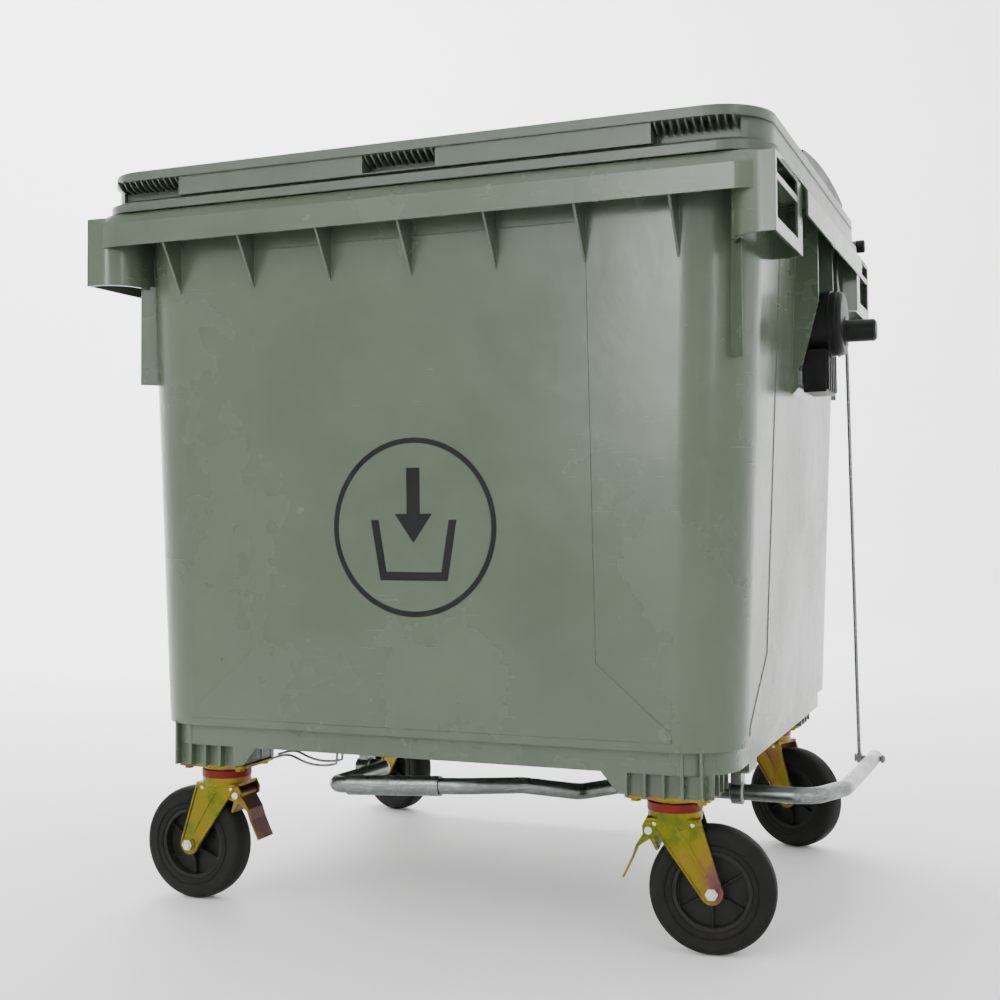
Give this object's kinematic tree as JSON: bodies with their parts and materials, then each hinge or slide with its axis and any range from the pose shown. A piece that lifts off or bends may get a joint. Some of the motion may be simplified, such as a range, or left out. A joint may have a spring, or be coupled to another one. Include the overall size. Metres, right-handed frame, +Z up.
{
  "type": "four-wheeled waste container",
  "caption": "Large wheeled waste container with tapered moulded tub, comb rim, flat hinged lid, lifting trunnions, foot pedal with lifting rod, and swivel casters with front brakes.",
  "frame": {"origin": "on the floor under the middle of the container", "axes": "X to the container's right between the trunnion tips, Y from front to back, Z up"},
  "size_m": [1.386, 1.075, 1.3218],
  "materials": {
    "tub_plastic": "glossy moulded polyethylene",
    "lid_plastic": "satin moulded polyethylene",
    "black_plastic": "satin black moulded plastic",
    "black_rubber": "matte",
    "white_nylon": "satin nylon",
    "tyre": "solid rubber",
    "hub_plastic": "moulded polypropylene",
    "red_seal": "moulded seal ring",
    "yellow_zinc": "yellow passivated zinc plate",
    "bright_zinc": "bright zinc plate",
    "galvanised": "galvanised steel",
    "rod_steel": "drawn steel rod"
  },
  "bodies": {
    "container": {"caster_bolts": "yellow_zinc", "caster_front_left_plate": "yellow_zinc", "caster_front_right_plate": "yellow_zinc", "caster_kingpins": "yellow_zinc", "caster_rear_left_plate": "yellow_zinc", "caster_rear_right_plate": "yellow_zinc", "drain_plug": "black_plastic", "drain_seal": "black_rubber", "hinge_caps": "black_plastic", "hinge_rod_left": "bright_zinc", "hinge_rod_right": "bright_zinc", "lid_buffers": "black_rubber", "pedal_bracket_bolts": "galvanised", "pedal_brackets": "galvanised", "pedal_bushes": "white_nylon", "trunnion_bolts": "galvanised", "trunnion_left": "black_plastic", "trunnion_plate_left": "galvanised", "trunnion_plate_right": "galvanised", "trunnion_right": "black_plastic", "tub": "tub_plastic"},
    "lid": {"lid": "lid_plastic", "lid_lift_bar": "black_plastic", "lid_lift_rail": "galvanised", "lid_lift_bolts": "galvanised"},
    "pedal": {"pedal_tube": "galvanised", "pedal_sleeve": "galvanised", "pedal_rod_pin": "galvanised"},
    "lift_rod": {"lift_rod": "rod_steel", "rod_roller": "white_nylon"},
    "caster_front_left": {"caster_front_left_fork": "yellow_zinc", "caster_front_left_seal": "red_seal", "caster_front_left_axle": "bright_zinc", "caster_front_left_brake_pin": "bright_zinc"},
    "wheel_front_left": {"caster_front_left_tyre": "tyre", "caster_front_left_hub": "hub_plastic", "caster_front_left_bush": "bright_zinc"},
    "brake_front_left": {"caster_front_left_brake_lever": "yellow_zinc"},
    "caster_front_right": {"caster_front_right_fork": "yellow_zinc", "caster_front_right_seal": "red_seal", "caster_front_right_axle": "bright_zinc", "caster_front_right_brake_pin": "bright_zinc"},
    "wheel_front_right": {"caster_front_right_tyre": "tyre", "caster_front_right_hub": "hub_plastic", "caster_front_right_bush": "bright_zinc"},
    "brake_front_right": {"caster_front_right_brake_lever": "yellow_zinc"},
    "caster_rear_left": {"caster_rear_left_fork": "yellow_zinc", "caster_rear_left_seal": "red_seal", "caster_rear_left_axle": "bright_zinc"},
    "wheel_rear_left": {"caster_rear_left_tyre": "tyre", "caster_rear_left_hub": "hub_plastic", "caster_rear_left_bush": "bright_zinc"},
    "caster_rear_right": {"caster_rear_right_fork": "yellow_zinc", "caster_rear_right_seal": "red_seal", "caster_rear_right_axle": "bright_zinc"},
    "wheel_rear_right": {"caster_rear_right_tyre": "tyre", "caster_rear_right_hub": "hub_plastic", "caster_rear_right_bush": "bright_zinc"}
  },
  "joints": [
    {"name": "lid_hinge", "type": "hinge", "parent": "container", "child": "lid", "pos_m": [0, 0.512, 1.262], "axis": [-1, 0, 0], "range_deg": [0, 50]},
    {"name": "pedal_pivot", "type": "hinge", "parent": "container", "child": "pedal", "pos_m": [0, -0.225, 0.222], "axis": [1, 0, 0], "range_deg": [0, 22.3]},
    {"name": "rod_pivot", "type": "hinge", "parent": "pedal", "child": "lift_rod", "pos_m": [0.6145, 0.265, 0.205], "axis": [-1, 0, 0], "range_deg": [0, 28.7]},
    {"name": "swivel_front_left", "type": "hinge", "parent": "container", "child": "caster_front_left", "pos_m": [-0.415, -0.388, 0.23], "axis": [0, 0, 1], "continuous": true},
    {"name": "wheel_spin_front_left", "type": "hinge", "parent": "caster_front_left", "child": "wheel_front_left", "pos_m": [-0.473, -0.388, 0.1], "axis": [0, -1, 0], "continuous": true},
    {"name": "brake_front_left", "type": "hinge", "parent": "caster_front_left", "child": "brake_front_left", "pos_m": [-0.376, -0.388, 0.193], "axis": [0, 1, 0], "range_deg": [0, 10]},
    {"name": "swivel_front_right", "type": "hinge", "parent": "container", "child": "caster_front_right", "pos_m": [0.415, -0.388, 0.23], "axis": [0, 0, 1], "continuous": true},
    {"name": "wheel_spin_front_right", "type": "hinge", "parent": "caster_front_right", "child": "wheel_front_right", "pos_m": [0.47229, -0.37893, 0.1], "axis": [-0.1564, 0.9877, 0], "continuous": true},
    {"name": "brake_front_right", "type": "hinge", "parent": "caster_front_right", "child": "brake_front_right", "pos_m": [0.37648, -0.3941, 0.193], "axis": [0.1564, -0.9877, 0], "range_deg": [0, 10]},
    {"name": "swivel_rear_left", "type": "hinge", "parent": "container", "child": "caster_rear_left", "pos_m": [-0.415, 0.388, 0.23], "axis": [0, 0, 1], "continuous": true},
    {"name": "wheel_spin_rear_left", "type": "hinge", "parent": "caster_rear_left", "child": "wheel_rear_left", "pos_m": [-0.46878, 0.40973, 0.1], "axis": [-0.3746, -0.9272, 0], "continuous": true},
    {"name": "swivel_rear_right", "type": "hinge", "parent": "container", "child": "caster_rear_right", "pos_m": [0.415, 0.388, 0.23], "axis": [0, 0, 1], "continuous": true},
    {"name": "wheel_spin_rear_right", "type": "hinge", "parent": "caster_rear_right", "child": "wheel_rear_right", "pos_m": [0.46915, 0.36722, 0.1], "axis": [0.3584, 0.9336, 0], "continuous": true}
  ],
  "couplings": [
    {"joint": "pedal_pivot", "follows": "lid_hinge", "ratio": 0.4459},
    {"joint": "rod_pivot", "follows": "lid_hinge", "ratio": 0.5739}
  ]
}
